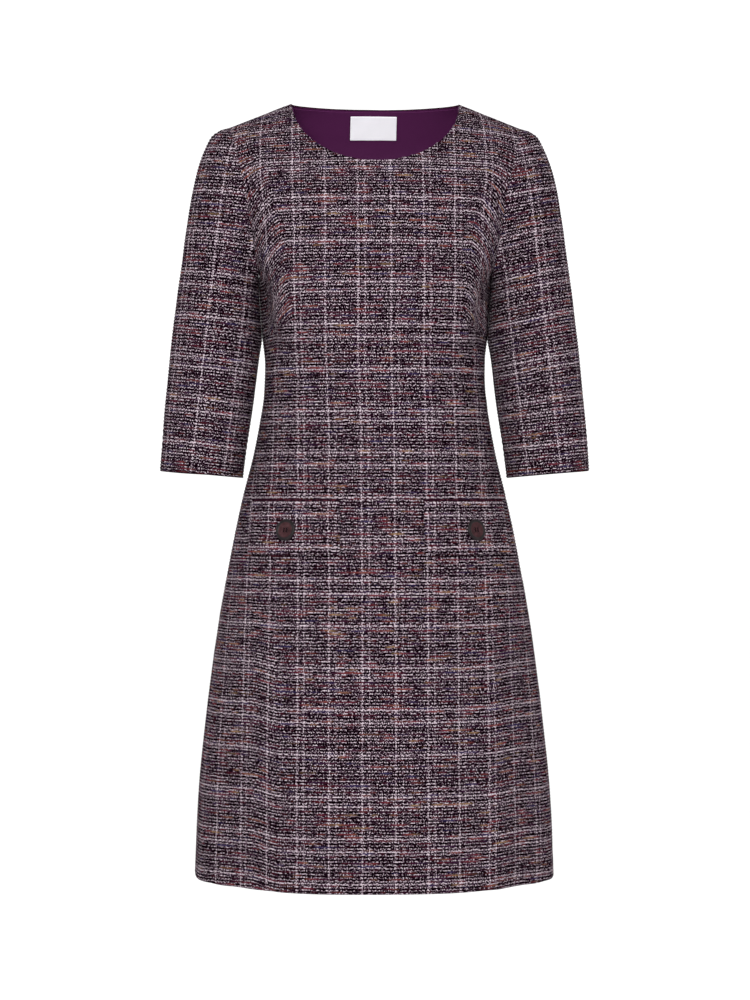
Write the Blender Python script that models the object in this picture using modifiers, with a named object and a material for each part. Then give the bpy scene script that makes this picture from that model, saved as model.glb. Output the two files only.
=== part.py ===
"""Shift dress in boucle tweed, filled out as when worn: round neck, elbow-length set-in sleeves,
A-line skirt and two buttoned pocket flaps.

Metres, +Z up. The front faces -Y and the wearer's left is +X. The origin is midway between the
neck ends of the two shoulder seams, where the shoulders carry the dress.
"""

import math
from collections import namedtuple

import bmesh
import bpy
from mathutils import Matrix, Vector

# ---------------------------------------------------------------- driving dimensions

CLOTH = 0.0018            # wall of the tweed
SEAM_GAP = 0.0004         # between two pieces sewn edge to edge
ARMHOLE_GAP = 0.0005      # between a sleeve and the armhole that it is set into
LAY_GAP = 0.0004          # between a piece and the panel that it lies on

NECK_HALF_WIDTH = 0.102   # centre to the neck end of the shoulder seam
FRONT_NECK_DROP = 0.0765
BACK_NECK_DROP = 0.0015
SHOULDER_TIP = (0.1765, -0.0293)   # x and z of the armhole end of the shoulder seam
UNDERARM_Z = -0.215
HEM_Z = -0.9385            # at the side seams
HEM_DIP = {"front": 0.0095, "back": 0.003}    # how much lower the hem is at the centre line
CROWN = 0.12              # below the shoulder line, where the panels have rounded over to upright

BUST_X = 0.086
BUST_Z = -0.208
BUST_RISE = 0.006
BUST_SPREAD = 0.055

FLAP_INNER = 0.050        # measured along the cloth from the centre front
FLAP_OUTER = 0.176
FLAP_TOP = -0.4825
FLAP_BOTTOM = -0.5490
FLAP_THICKNESS = 0.0026   # two layers, pressed
FLAP_SHIFT = 0.0048        # both flaps and their buttons sit this far to the wearer's left

BUTTON_ACROSS = 0.1158     # measured along the cloth from the centre front
BUTTON_Z = -0.5200
BUTTON_RADIUS = 0.0130
BUTTON_THICKNESS = 0.0036
BUTTON_HOLE_RADIUS = 0.0011
BUTTON_HOLE_OFFSET = 0.0019

# The button's outline as shares of its radius and thickness: a dished face inside a raised rim.
ButtonRow = namedtuple("ButtonRow", "radius height")
BUTTON_OUTLINE = [
    ButtonRow(0.00, 0.62),
    ButtonRow(0.60, 0.62),
    ButtonRow(0.70, 0.72),
    ButtonRow(0.80, 0.97),
    ButtonRow(0.88, 1.00),
    ButtonRow(0.96, 0.85),
    ButtonRow(1.00, 0.55),
    ButtonRow(0.96, 0.20),
    ButtonRow(0.85, 0.00),
    ButtonRow(0.00, 0.00),
]

LINING = 0.0010
LINING_BOTTOM = -0.125
LABEL_WIDTH = 0.058
LABEL_TOP = -0.0065
LABEL_BOTTOM = -0.0340
LABEL_THICKNESS = 0.0010
LABEL_GAP = 0.0009        # clears the facets of the lining, which lies in a hollow

# Cross-sections of the body. Above the underarm the half width is that of the full oval, which
# the armhole cuts short. seam_y is how far back the side seam lies.
Section = namedtuple("Section", "z half_width front back seam_y front_power back_power")
BODY = [
    Section(0.045, 0.3000, 0.056, 0.074, 0.000, 2.0, 2.0),
    Section(0.000, 0.3000, 0.064, 0.080, 0.000, 2.0, 2.0),
    Section(-0.050, 0.2790, 0.074, 0.090, 0.000, 2.0, 2.0),
    Section(-0.087, 0.2440, 0.087, 0.095, 0.000, 2.0, 2.0),
    Section(-0.113, 0.1970, 0.098, 0.098, 0.000, 2.0, 2.0),
    Section(-0.151, 0.1697, 0.111, 0.102, 0.000, 2.0, 2.3),
    Section(-0.180, 0.1550, 0.118, 0.102, 0.000, 2.3, 2.4),
    Section(-0.197, 0.1475, 0.121, 0.101, 0.000, 2.5, 2.4),
    Section(-0.215, 0.1420, 0.123, 0.099, 0.000, 2.6, 2.4),
    Section(-0.250, 0.1397, 0.122, 0.095, 0.000, 2.6, 2.3),
    Section(-0.286, 0.1372, 0.115, 0.091, 0.001, 2.5, 2.2),
    Section(-0.318, 0.1340, 0.107, 0.089, 0.002, 2.3, 2.1),
    Section(-0.355, 0.1354, 0.101, 0.089, 0.004, 2.2, 2.1),
    Section(-0.391, 0.1409, 0.101, 0.092, 0.007, 2.1, 2.1),
    Section(-0.428, 0.1482, 0.108, 0.099, 0.012, 2.1, 2.1),
    Section(-0.483, 0.1622, 0.124, 0.108, 0.020, 2.1, 2.1),
    Section(-0.556, 0.1772, 0.146, 0.116, 0.025, 2.1, 2.1),
    Section(-0.629, 0.1902, 0.159, 0.119, 0.025, 2.1, 2.1),
    Section(-0.739, 0.2053, 0.164, 0.121, 0.025, 2.1, 2.1),
    Section(-0.849, 0.2160, 0.163, 0.122, 0.025, 2.1, 2.1),
    Section(-0.946, 0.2201, 0.162, 0.122, 0.025, 2.1, 2.1),
]

# The armhole edge seen from the front: its distance from the middle at each height.
ArmholeRow = namedtuple("ArmholeRow", "z x")
ARMHOLE = [
    ArmholeRow(-0.215, 0.1420),
    ArmholeRow(-0.197, 0.1440),
    ArmholeRow(-0.180, 0.1470),
    ArmholeRow(-0.151, 0.1515),
    ArmholeRow(-0.113, 0.1570),
    ArmholeRow(-0.087, 0.1630),
    ArmholeRow(-0.060, 0.1695),
    ArmholeRow(-0.0293, 0.1765),
]

# Soft flutes that open towards the hem of the skirt, on each side of the centre. across is 0 at the
# centre line and 1 at the side seam, and a negative depth is a trough.
FLUTE_GROWTH = 1.3        # how late they open: 1 is evenly from start to hem
Flute = namedtuple("Flute", "across start depth spread")
FLUTES = {
    "front": [Flute(0.57, -0.56, -0.0045, 0.085), Flute(0.78, -0.60, 0.0050, 0.085)],
    "back": [Flute(0.30, -0.58, 0.0045, 0.10), Flute(0.55, -0.56, -0.0050, 0.09)],
}

# Cross-sections of the sleeve from its seam to the cuff: the top and the underarm point, how far
# the front and the back lie from the line between them, and how much of the armhole's own shape
# is left.
SleeveRow = namedtuple("SleeveRow", "outer_x outer_z inner_x inner_z front back armhole")
SLEEVE = [
    SleeveRow(0.1880, -0.0325, 0.1431, -0.2170, 0.0570, 0.0570, 0.55),
    SleeveRow(0.1980, -0.0395, 0.1429, -0.2195, 0.0560, 0.0560, 0.25),
    SleeveRow(0.2070, -0.0560, 0.1426, -0.2235, 0.0555, 0.0550, 0.08),
    SleeveRow(0.2153, -0.0780, 0.1421, -0.2290, 0.0555, 0.0545, 0.00),
    SleeveRow(0.2225, -0.1080, 0.1412, -0.2370, 0.0555, 0.0540, 0.00),
    SleeveRow(0.2290, -0.1470, 0.1403, -0.2490, 0.0550, 0.0530, 0.00),
    SleeveRow(0.2355, -0.1950, 0.1393, -0.2650, 0.0550, 0.0515, 0.00),
    SleeveRow(0.2418, -0.2420, 0.1381, -0.2850, 0.0545, 0.0495, 0.00),
    SleeveRow(0.2477, -0.2890, 0.1415, -0.3120, 0.0540, 0.0470, 0.00),
    SleeveRow(0.2525, -0.3370, 0.1462, -0.3510, 0.0535, 0.0435, 0.00),
    SleeveRow(0.2575, -0.3880, 0.1530, -0.3980, 0.0525, 0.0395, 0.00),
    SleeveRow(0.2612, -0.4385, 0.1600, -0.4478, 0.0515, 0.0355, 0.00),
    SleeveRow(0.2618, -0.4468, 0.1610, -0.4560, 0.0513, 0.0350, 0.00),
]

NECK_COLUMNS = 7          # from the centre line to the neck end of the shoulder seam
SHOULDER_COLUMNS = 4      # from there to the armhole
SIDE_ROWS = 16            # from the underarm to the hem, closest at the bust and the waist
SIDE_ROW_SPREAD = 1.2
FLAP_COLUMNS = 12
FLAP_ROWS = 6
LABEL_COLUMNS = 5         # from the centre line to the label's end
LABEL_ROWS = 4
BUTTON_STEPS = 36
HOLE_STEPS = 12
ARMHOLE_ANGLES = [0, 6, 18, 30, 42] + [18 * step for step in range(3, 11)]    # degrees from the top

TWEED = ("boucle_tweed", (0.115, 0.075, 0.092), 0.95)
LINING_CLOTH = ("plum_lining", (0.055, 0.010, 0.047), 0.55)
LABEL_CLOTH = ("white_satin_label", (0.78, 0.76, 0.81), 0.60)
BUTTON_PLASTIC = ("dark_brown_plastic", (0.045, 0.022, 0.022), 0.40)

# ---------------------------------------------------------------- tables read as smooth curves


def smooth_curve(knots):
    """Return a curve through (place, value) knots that never overshoots them."""
    knots = sorted(knots)
    steps = [b[0] - a[0] for a, b in zip(knots, knots[1:])]
    slopes = [(b[1] - a[1]) / step for a, b, step in zip(knots, knots[1:], steps)]
    tangents = [slopes[0]]
    for before, after in zip(slopes, slopes[1:]):
        level = before * after <= 0
        tangents.append(0.0 if level else 2 * before * after / (before + after))
    tangents.append(slopes[-1])

    def value(place):
        place = min(max(place, knots[0][0]), knots[-1][0])
        index = 0
        while index < len(steps) - 1 and place > knots[index + 1][0]:
            index += 1
        step = steps[index]
        t = (place - knots[index][0]) / step
        start = knots[index][1] * (1 + 2 * t) + tangents[index] * step * t
        end = knots[index + 1][1] * (3 - 2 * t) - tangents[index + 1] * step * (1 - t)
        return start * (1 - t) ** 2 + end * t ** 2

    return value


def column(table, name):
    """One named column of a table, as a smooth curve of height."""
    return smooth_curve([(row.z, getattr(row, name)) for row in table])


half_width = column(BODY, "half_width")
seam_y = column(BODY, "seam_y")
armhole_x = column(ARMHOLE, "x")
DEPTH = {side: column(BODY, side) for side in ("front", "back")}
POWER = {side: column(BODY, side + "_power") for side in ("front", "back")}
FACING = {"front": -1, "back": 1}

# ---------------------------------------------------------------- the surface of the body


def shoulder_z(x):
    """Height of the shoulder line, which carries on inwards as a low arch over the neck."""
    slope = SHOULDER_TIP[1] / (SHOULDER_TIP[0] - NECK_HALF_WIDTH)
    if x < NECK_HALF_WIDTH:
        return slope * (x ** 2 - NECK_HALF_WIDTH ** 2) / (2 * NECK_HALF_WIDTH)
    return slope * (x - NECK_HALF_WIDTH)


def flute_scale(side, across, z):
    """How far a flute pushes the skirt out or in, as a share of its radius."""
    push = 0.0
    for flute in FLUTES[side]:
        fall = max(0.0, (flute.start - z) / (flute.start - HEM_Z))
        bump = math.exp(-(((across - flute.across) / flute.spread) ** 2))
        push += flute.depth * fall ** FLUTE_GROWTH * bump
    return 1 + push / half_width(z)


def body_point(side, across, z):
    """Point on the outer face of a panel, across from 0 at the centre line to 1 at the seam."""
    share = math.sin(across * math.pi / 2)
    x = half_width(z) * share
    below = min(max((shoulder_z(x) - z) / CROWN, 0.0), 1.0)
    crown = math.sqrt(1 - (1 - below) ** 2)
    oval = max(1 - share ** POWER[side](z), 0.0) ** (1 / POWER[side](z))
    depth = DEPTH[side](z) * oval * crown
    if side == "front":
        from_bust = ((x - BUST_X) ** 2 + (z - BUST_Z) ** 2) / BUST_SPREAD ** 2
        depth += BUST_RISE * math.exp(-from_bust) * oval
    scale = flute_scale(side, across, z)
    return Vector((x * scale, seam_y(z) + FACING[side] * depth * scale, z))


def across_at(x, z):
    """The place across a panel that lies at x."""
    return math.asin(min(x / half_width(z), 1.0)) * 2 / math.pi


def across_at_length(side, length, z):
    """The place across a panel that is a given length along the cloth from its centre line."""
    step = 0.0025    # of the way from the centre line to the seam
    across = 0.0
    travelled = 0.0
    here = body_point(side, across, z)
    while travelled < length:
        there = body_point(side, across + step, z)
        stride = (there - here).length
        if travelled + stride >= length:
            return across + step * (length - travelled) / stride
        travelled += stride
        across += step
        here = there
    return across


def body_normal(side, across, z):
    """Direction out of the cloth."""
    step = 0.002
    low = max(across - step, 0.0)
    high = min(across + step, 1.0)
    along = body_point(side, high, z) - body_point(side, low, z)
    down = body_point(side, across, z - step) - body_point(side, across, z + step)
    return (along.cross(down) * FACING[side]).normalized()


# ---------------------------------------------------------------- the edges of a panel


def neck_edge(side, angle):
    """Place and height on the neckline, from 0 at the centre line to a right angle at the seam."""
    x = NECK_HALF_WIDTH * math.sin(angle)
    if side == "front":
        z = -FRONT_NECK_DROP * math.cos(angle)
    else:
        z = -BACK_NECK_DROP * math.cos(angle) ** 2
    return across_at(x, z), z


def shoulder_edge(share):
    x = NECK_HALF_WIDTH + share * (SHOULDER_TIP[0] - NECK_HALF_WIDTH)
    z = shoulder_z(x)
    return across_at(x, z), z


def armhole_edge(angle):
    """Place and height on the armhole, from 0 at the shoulder to a half turn at the underarm."""
    middle = (SHOULDER_TIP[1] + UNDERARM_Z) / 2
    reach = (SHOULDER_TIP[1] - UNDERARM_Z) / 2
    z = middle + reach * math.cos(angle)
    return across_at(armhole_x(z), z), z


def panel_places(side):
    """Rows of (across, z) over half a panel: the top rows follow the neck, shoulder and armhole."""
    top = [neck_edge(side, math.pi / 2 * step / NECK_COLUMNS) for step in range(NECK_COLUMNS)]
    top += [shoulder_edge(step / SHOULDER_COLUMNS) for step in range(SHOULDER_COLUMNS + 1)]
    last = len(top) - 1
    rows = []
    for degrees in ARMHOLE_ANGLES:
        angle = math.radians(degrees)
        fall = (1 - math.cos(angle)) / 2
        centre_z = top[0][1] + (UNDERARM_Z - top[0][1]) * fall
        edge_across, edge_z = armhole_edge(angle)
        row = []
        for index, (top_across, top_z) in enumerate(top):
            share = index / last
            bend_across = top_across - share * top[last][0]
            bend_z = top_z - top[0][1] - share * (top[last][1] - top[0][1])
            across = share * edge_across + (1 - fall) * bend_across
            z = centre_z + share * (edge_z - centre_z) + (1 - fall) * bend_z
            row.append((across, z))
        rows.append(row)
    for step in range(1, SIDE_ROWS + 1):
        fall = (step / SIDE_ROWS) ** SIDE_ROW_SPREAD
        row = []
        for index in range(last + 1):
            across = index / last
            lowest = HEM_Z - HEM_DIP[side] * (1 - across ** 2)
            row.append((across, UNDERARM_Z + (lowest - UNDERARM_Z) * fall))
        rows.append(row)
    return rows


# ---------------------------------------------------------------- building cloth


def finish_of(finish):
    """The Principled material of a named finish, made once."""
    name, colour, roughness = finish
    material = bpy.data.materials.get(name)
    if material is None:
        material = bpy.data.materials.new(name)
        material.use_nodes = True
        shader = material.node_tree.nodes["Principled BSDF"]
        shader.inputs["Base Color"].default_value = (*colour, 1.0)
        shader.inputs["Roughness"].default_value = roughness
        shader.inputs["Metallic"].default_value = 0.0
    return material


def new_object(name, mesh, collection, finish=None):
    thing = bpy.data.objects.new(name, mesh)
    collection.objects.link(thing)
    if finish:
        mesh.materials.append(finish_of(finish))
    return thing


def lofted_mesh(name, rows, closed=False):
    """Open surface through rows of points, which run across and may close into rings."""
    mesh = bpy.data.meshes.new(name)
    form = bmesh.new()
    grid = [[form.verts.new(point) for point in row] for row in rows]
    for upper, lower in zip(grid, grid[1:]):
        wrap = upper[1:] + upper[:1] if closed else upper[1:]
        lower_wrap = lower[1:] + lower[:1] if closed else lower[1:]
        for a, b, c, d in zip(upper, wrap, lower_wrap, lower):
            form.faces.new((a, b, c, d))
    form.to_mesh(mesh)
    form.free()
    return mesh


def face_along(mesh, direction):
    """Turn all faces over where the first one looks against the given direction."""
    if mesh.polygons[0].normal.dot(direction) < 0:
        mesh.flip_normals()


def thicken(thing, thickness, side):
    """Give an open surface its wall, inwards for a side of -1 and outwards for 1."""
    wall = thing.modifiers.new("Wall", "SOLIDIFY")
    wall.thickness = thickness
    wall.offset = side
    wall.use_even_offset = True
    wall.use_quality_normals = True


def mirror_at_centre(thing):
    halves = thing.modifiers.new("Halves", "MIRROR")
    halves.use_clip = True
    halves.merge_threshold = 0.00005


def apply_modifiers(thing):
    """Replace an object's mesh with what its modifiers make of it."""
    graph = bpy.context.evaluated_depsgraph_get()
    mesh = bpy.data.meshes.new_from_object(thing.evaluated_get(graph))
    thing.modifiers.clear()
    thing.data = mesh


def shade(thing, degrees=40):
    thing.data.shade_smooth()
    thing.data.set_sharp_from_angle(angle=math.radians(degrees))


# ---------------------------------------------------------------- the pieces


def build_panel(side, collection):
    """Front or back of the dress, square to its seams."""
    rows = [[body_point(side, across, z) for across, z in row] for row in panel_places(side)]
    for row in rows:
        row[0].x = 0.0
    mesh = lofted_mesh(side + "_panel", rows)
    face_along(mesh, Vector((0, FACING[side], 0)))
    panel = new_object(side + "_panel", mesh, collection, TWEED)
    mirror_at_centre(panel)
    thicken(panel, CLOTH, -1)
    apply_modifiers(panel)
    for vertex in panel.data.vertices:
        from_seam = FACING[side] * (vertex.co.y - seam_y(vertex.co.z))
        from_seam = max(from_seam, SEAM_GAP / 2)
        vertex.co.y = seam_y(vertex.co.z) + FACING[side] * from_seam
    shade(panel)
    return panel


def armhole_ring():
    """The armhole edge all the way round: shoulder, front, underarm, back."""
    angles = [math.radians(degrees) for degrees in ARMHOLE_ANGLES]
    front = [("front", angle) for angle in angles]
    back = [("back", angle) for angle in reversed(angles[1:-1])]
    ring = []
    for side, angle in front + back:
        across, z = armhole_edge(angle)
        turn = angle if side == "front" else -angle
        ring.append((turn, body_point(side, across, z)))
    return ring


def sleeve_rings():
    """Rings of points from the armhole to the cuff, for the sleeve at +X."""
    armhole = armhole_ring()
    drop = Vector((SHOULDER_TIP[0] - armhole_x(UNDERARM_Z), 0, SHOULDER_TIP[1] - UNDERARM_Z))
    outwards = Vector((drop.z, 0, -drop.x)).normalized()
    top = Vector((SHOULDER_TIP[0], 0, SHOULDER_TIP[1]))
    bottom = Vector((armhole_x(UNDERARM_Z), 0, UNDERARM_Z))
    rings = [[point + outwards * ARMHOLE_GAP for _, point in armhole]]
    for row in SLEEVE:
        outer = Vector((row.outer_x, 0, row.outer_z))
        inner = Vector((row.inner_x, 0, row.inner_z))
        ring = []
        for turn, point in armhole:
            depth = row.front if turn > 0 else row.back
            oval = (outer + inner) / 2 + (outer - inner) / 2 * math.cos(turn)
            oval.y = -math.sin(turn) * depth
            share = (point - bottom).dot(top - bottom) / (top - bottom).length_squared
            along_line = bottom + (top - bottom) * share
            kept = inner + (outer - inner) * share + (point - along_line)
            ring.append(oval.lerp(kept, row.armhole))
        rings.append(ring)
    return rings


def build_sleeve(name, sign, collection):
    rings = sleeve_rings()
    mesh = lofted_mesh(name, rings, closed=True)
    face_along(mesh, Vector((0, 0, 1)))
    if sign < 0:
        mesh.transform(Matrix.Scale(-1, 4, Vector((1, 0, 0))))
        mesh.flip_normals()
    sleeve = new_object(name, mesh, collection, TWEED)
    thicken(sleeve, CLOTH, -1)
    shade(sleeve)
    return sleeve


def laid_on_front(points):
    """Points of the front, moved out by the gap that what lies on it keeps."""
    return [body_point("front", *place) + body_normal("front", *place) * LAY_GAP for place in points]


def build_flap(name, sign, collection):
    """Pocket flap, its short edges straight down the cloth."""
    rows = []
    for row in range(FLAP_ROWS + 1):
        z = FLAP_TOP + (FLAP_BOTTOM - FLAP_TOP) * row / FLAP_ROWS
        stride = (FLAP_OUTER - FLAP_INNER) / FLAP_COLUMNS
        start = FLAP_INNER + FLAP_SHIFT * sign
        lengths = [start + stride * step for step in range(FLAP_COLUMNS + 1)]
        rows.append(laid_on_front([(across_at_length("front", length, z), z) for length in lengths]))
    mesh = lofted_mesh(name, rows)
    face_along(mesh, Vector((0, -1, 0)))
    if sign < 0:
        mesh.transform(Matrix.Scale(-1, 4, Vector((1, 0, 0))))
        mesh.flip_normals()
    flap = new_object(name, mesh, collection, TWEED)
    thicken(flap, FLAP_THICKNESS, 1)
    shade(flap)
    return flap


def button_profile():
    """Outline of the button from the middle of its face, over the rim, to the middle of its back."""
    return [(row.radius * BUTTON_RADIUS, row.height * BUTTON_THICKNESS) for row in BUTTON_OUTLINE]


def build_button(name, sign, collection, cutters):
    mesh = bpy.data.meshes.new(name)
    form = bmesh.new()
    chain = [form.verts.new((x, 0, z)) for x, z in button_profile()]
    for upper, lower in zip(chain, chain[1:]):
        form.edges.new((upper, lower))
    form.to_mesh(mesh)
    form.free()
    button = new_object(name, mesh, collection, BUTTON_PLASTIC)
    turned = button.modifiers.new("Turned", "SCREW")
    turned.axis = "Z"
    turned.steps = BUTTON_STEPS
    turned.render_steps = BUTTON_STEPS
    turned.use_merge_vertices = True
    turned.merge_threshold = 0.00001
    turned.use_normal_calculate = True

    across = across_at_length("front", BUTTON_ACROSS + FLAP_SHIFT * sign, BUTTON_Z)
    seat = body_point("front", across, BUTTON_Z)
    outwards = body_normal("front", across, BUTTON_Z)
    seat += outwards * (LAY_GAP + FLAP_THICKNESS + LAY_GAP)
    seat.x *= sign
    outwards.x *= sign
    button.matrix_world = Matrix.Translation(seat) @ outwards.to_track_quat("Z", "Y").to_matrix().to_4x4()

    for index in range(4):
        angle = math.pi / 4 + index * math.pi / 2
        offset = BUTTON_HOLE_OFFSET * math.sqrt(2)
        form = bmesh.new()
        bmesh.ops.create_cone(form, cap_ends=True, segments=HOLE_STEPS, radius1=BUTTON_HOLE_RADIUS,
                              radius2=BUTTON_HOLE_RADIUS, depth=BUTTON_THICKNESS * 4)
        hole_mesh = bpy.data.meshes.new(name + "_hole")
        form.to_mesh(hole_mesh)
        form.free()
        hole = new_object(f"{name}_hole_{index + 1}", hole_mesh, cutters)
        hole.parent = button
        hole.location = (offset * math.cos(angle), offset * math.sin(angle), BUTTON_THICKNESS / 2)
        hole.hide_render = True
        hole.display_type = "WIRE"
        cut = button.modifiers.new(f"Hole {index + 1}", "BOOLEAN")
        cut.object = hole
        cut.operation = "DIFFERENCE"
        cut.solver = "EXACT"
    return button


def inside_back(places, depth):
    """Points of the back, moved in through its wall and on by the given depth."""
    return [body_point("back", *place) - body_normal("back", *place) * (CLOTH + depth) for place in places]


def build_lining(collection):
    """Lining inside the back neck, on the back's own points."""
    places = [row[:-1] for row in panel_places("back")[1:] if row[0][1] >= LINING_BOTTOM]
    rows = [inside_back(row, LAY_GAP) for row in places]
    for row in rows:
        row[0].x = 0.0
    mesh = lofted_mesh("back_neck_lining", rows)
    face_along(mesh, Vector((0, -1, 0)))
    lining = new_object("back_neck_lining", mesh, collection, LINING_CLOTH)
    mirror_at_centre(lining)
    thicken(lining, LINING, 1)
    shade(lining)
    return lining


def build_label(collection):
    """Bare label on the lining, below the middle of the back neck."""
    rows = []
    for row in range(LABEL_ROWS + 1):
        z = LABEL_TOP + (LABEL_BOTTOM - LABEL_TOP) * row / LABEL_ROWS
        lengths = [LABEL_WIDTH / 2 * step / LABEL_COLUMNS for step in range(LABEL_COLUMNS + 1)]
        places = [(across_at_length("back", length, z), z) for length in lengths]
        rows.append(inside_back(places, LAY_GAP + LINING + LABEL_GAP))
    for row in rows:
        row[0].x = 0.0
    mesh = lofted_mesh("neck_label", rows)
    face_along(mesh, Vector((0, -1, 0)))
    label = new_object("neck_label", mesh, collection, LABEL_CLOTH)
    mirror_at_centre(label)
    thicken(label, LABEL_THICKNESS, 1)
    shade(label)
    return label


def main():
    for thing in list(bpy.data.objects):
        bpy.data.objects.remove(thing, do_unlink=True)
    dress = bpy.data.collections.new("shift_dress")
    cutters = bpy.data.collections.new("cutters")
    bpy.context.scene.collection.children.link(dress)
    bpy.context.scene.collection.children.link(cutters)

    build_panel("front", dress)
    build_panel("back", dress)
    for name, sign in (("left", 1), ("right", -1)):
        build_sleeve("sleeve_" + name, sign, dress)
        build_flap("pocket_flap_" + name, sign, dress)
        build_button("button_" + name, sign, dress, cutters)
    build_lining(dress)
    build_label(dress)


main()
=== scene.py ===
"""Looks of the shift dress: boucle tweed on its worn form, plum lining, blank label, two buttons."""

import math
from collections import namedtuple

import bmesh
import bpy
from mathutils import Matrix, Vector, noise


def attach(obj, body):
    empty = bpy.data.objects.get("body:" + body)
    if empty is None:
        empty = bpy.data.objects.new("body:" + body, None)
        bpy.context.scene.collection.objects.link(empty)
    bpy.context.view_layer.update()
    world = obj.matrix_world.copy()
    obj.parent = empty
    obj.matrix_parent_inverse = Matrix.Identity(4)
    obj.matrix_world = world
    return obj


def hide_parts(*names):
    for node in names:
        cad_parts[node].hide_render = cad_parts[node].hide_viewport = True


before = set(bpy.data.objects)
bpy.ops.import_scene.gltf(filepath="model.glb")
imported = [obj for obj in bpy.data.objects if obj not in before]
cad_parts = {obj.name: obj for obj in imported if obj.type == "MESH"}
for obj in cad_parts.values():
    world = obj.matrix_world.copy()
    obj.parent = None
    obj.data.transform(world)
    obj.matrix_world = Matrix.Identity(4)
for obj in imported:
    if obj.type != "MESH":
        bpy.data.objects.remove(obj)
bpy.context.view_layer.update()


def table(kind, *rows):
    return [kind(*row) for row in rows]


# ---- sizes of the form, in metres

CLOTH = 0.0018  # wall of the tweed
EDGE_ROUND = 0.0006  # of its edges
ARMHOLE_LAP = 0.0008  # how far a sleeve starts inside the armhole
LAY_GAP = 0.0004  # under each layer

NECK_HALF_WIDTH = 0.102
FRONT_NECK_DROP = 0.0765
BACK_NECK_DROP = 0.0015
SHOULDER_TIP = (0.1765, -0.0293)
UNDERARM_Z = -0.215
HEM_Z = -0.9385
HEM_DIP = {"front": 0.0095, "back": 0.003}
CROWN = 0.12  # how far below the shoulder line the body reaches its full depth

BUST_X = 0.086
BUST_Z = -0.208
BUST_RISE = 0.006
BUST_SPREAD = 0.055

FLAP_INNER = 0.05
FLAP_OUTER = 0.176
FLAP_TOP = -0.4825
FLAP_BOTTOM = -0.549
FLAP_THICKNESS = 0.0026
FLAP_SHIFT = 0.0048  # of both flaps, to the wearer's left
SHADE_EDGE_WIDTH = 0.0014  # width of the painted shade along the edges of a flap, and along the back neck

BUTTON_ACROSS = 0.1158
BUTTON_Z = -0.52
BUTTON_RADIUS = 0.013
BUTTON_THICKNESS = 0.0036
BUTTON_HOLE_RADIUS = 0.0011
BUTTON_HOLE_OFFSET = 0.0019
DISH_RADIUS = 0.0093

LINING = 0.001
LINING_BOTTOM = -0.125
LABEL_WIDTH = 0.058
LABEL_TOP = -0.0065
LABEL_BOTTOM = -0.034
LABEL_THICKNESS = 0.0008
LABEL_GAP = 0.0009

Section = namedtuple("Section", "z half_width front back seam_y front_power back_power")
BODY = table(
    Section,
    (0.045, 0.3, 0.056, 0.074, 0.0, 2.0, 2.0),
    (0.0, 0.3, 0.064, 0.08, 0.0, 2.0, 2.0),
    (-0.05, 0.279, 0.074, 0.09, 0.0, 2.0, 2.0),
    (-0.087, 0.244, 0.087, 0.095, 0.0, 2.0, 2.0),
    (-0.113, 0.197, 0.098, 0.098, 0.0, 2.0, 2.0),
    (-0.151, 0.1697, 0.111, 0.102, 0.0, 2.0, 2.3),
    (-0.18, 0.155, 0.118, 0.102, 0.0, 2.3, 2.4),
    (-0.197, 0.1475, 0.121, 0.101, 0.0, 2.5, 2.4),
    (-0.215, 0.142, 0.123, 0.099, 0.0, 2.6, 2.4),
    (-0.25, 0.1397, 0.122, 0.095, 0.0, 2.6, 2.3),
    (-0.286, 0.1372, 0.115, 0.091, 0.001, 2.5, 2.2),
    (-0.318, 0.134, 0.107, 0.089, 0.002, 2.3, 2.1),
    (-0.355, 0.1354, 0.101, 0.089, 0.004, 2.2, 2.1),
    (-0.391, 0.1409, 0.101, 0.092, 0.007, 2.1, 2.1),
    (-0.428, 0.1482, 0.108, 0.099, 0.012, 2.1, 2.1),
    (-0.483, 0.1622, 0.124, 0.108, 0.02, 2.1, 2.1),
    (-0.556, 0.1772, 0.146, 0.116, 0.025, 2.1, 2.1),
    (-0.629, 0.1902, 0.159, 0.119, 0.025, 2.1, 2.1),
    (-0.739, 0.2053, 0.164, 0.121, 0.025, 2.1, 2.1),
    (-0.849, 0.216, 0.163, 0.122, 0.025, 2.1, 2.1),
    (-0.946, 0.2201, 0.162, 0.122, 0.025, 2.1, 2.1),
)

ArmholeRow = namedtuple("ArmholeRow", "z x")
ARMHOLE = table(
    ArmholeRow,
    (-0.215, 0.142),
    (-0.197, 0.144),
    (-0.18, 0.147),
    (-0.151, 0.1515),
    (-0.113, 0.157),
    (-0.087, 0.163),
    (-0.06, 0.1695),
    (-0.0293, 0.1765),
)

Flute = namedtuple("Flute", "across start depth spread")
FLUTE_GROWTH = 1.3
FLUTES = {
    "front": [Flute(0.57, -0.56, -0.0045, 0.085), Flute(0.78, -0.6, 0.005, 0.085)],
    "back": [Flute(0.3, -0.58, 0.0045, 0.1), Flute(0.55, -0.56, -0.005, 0.09)],
}

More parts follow.
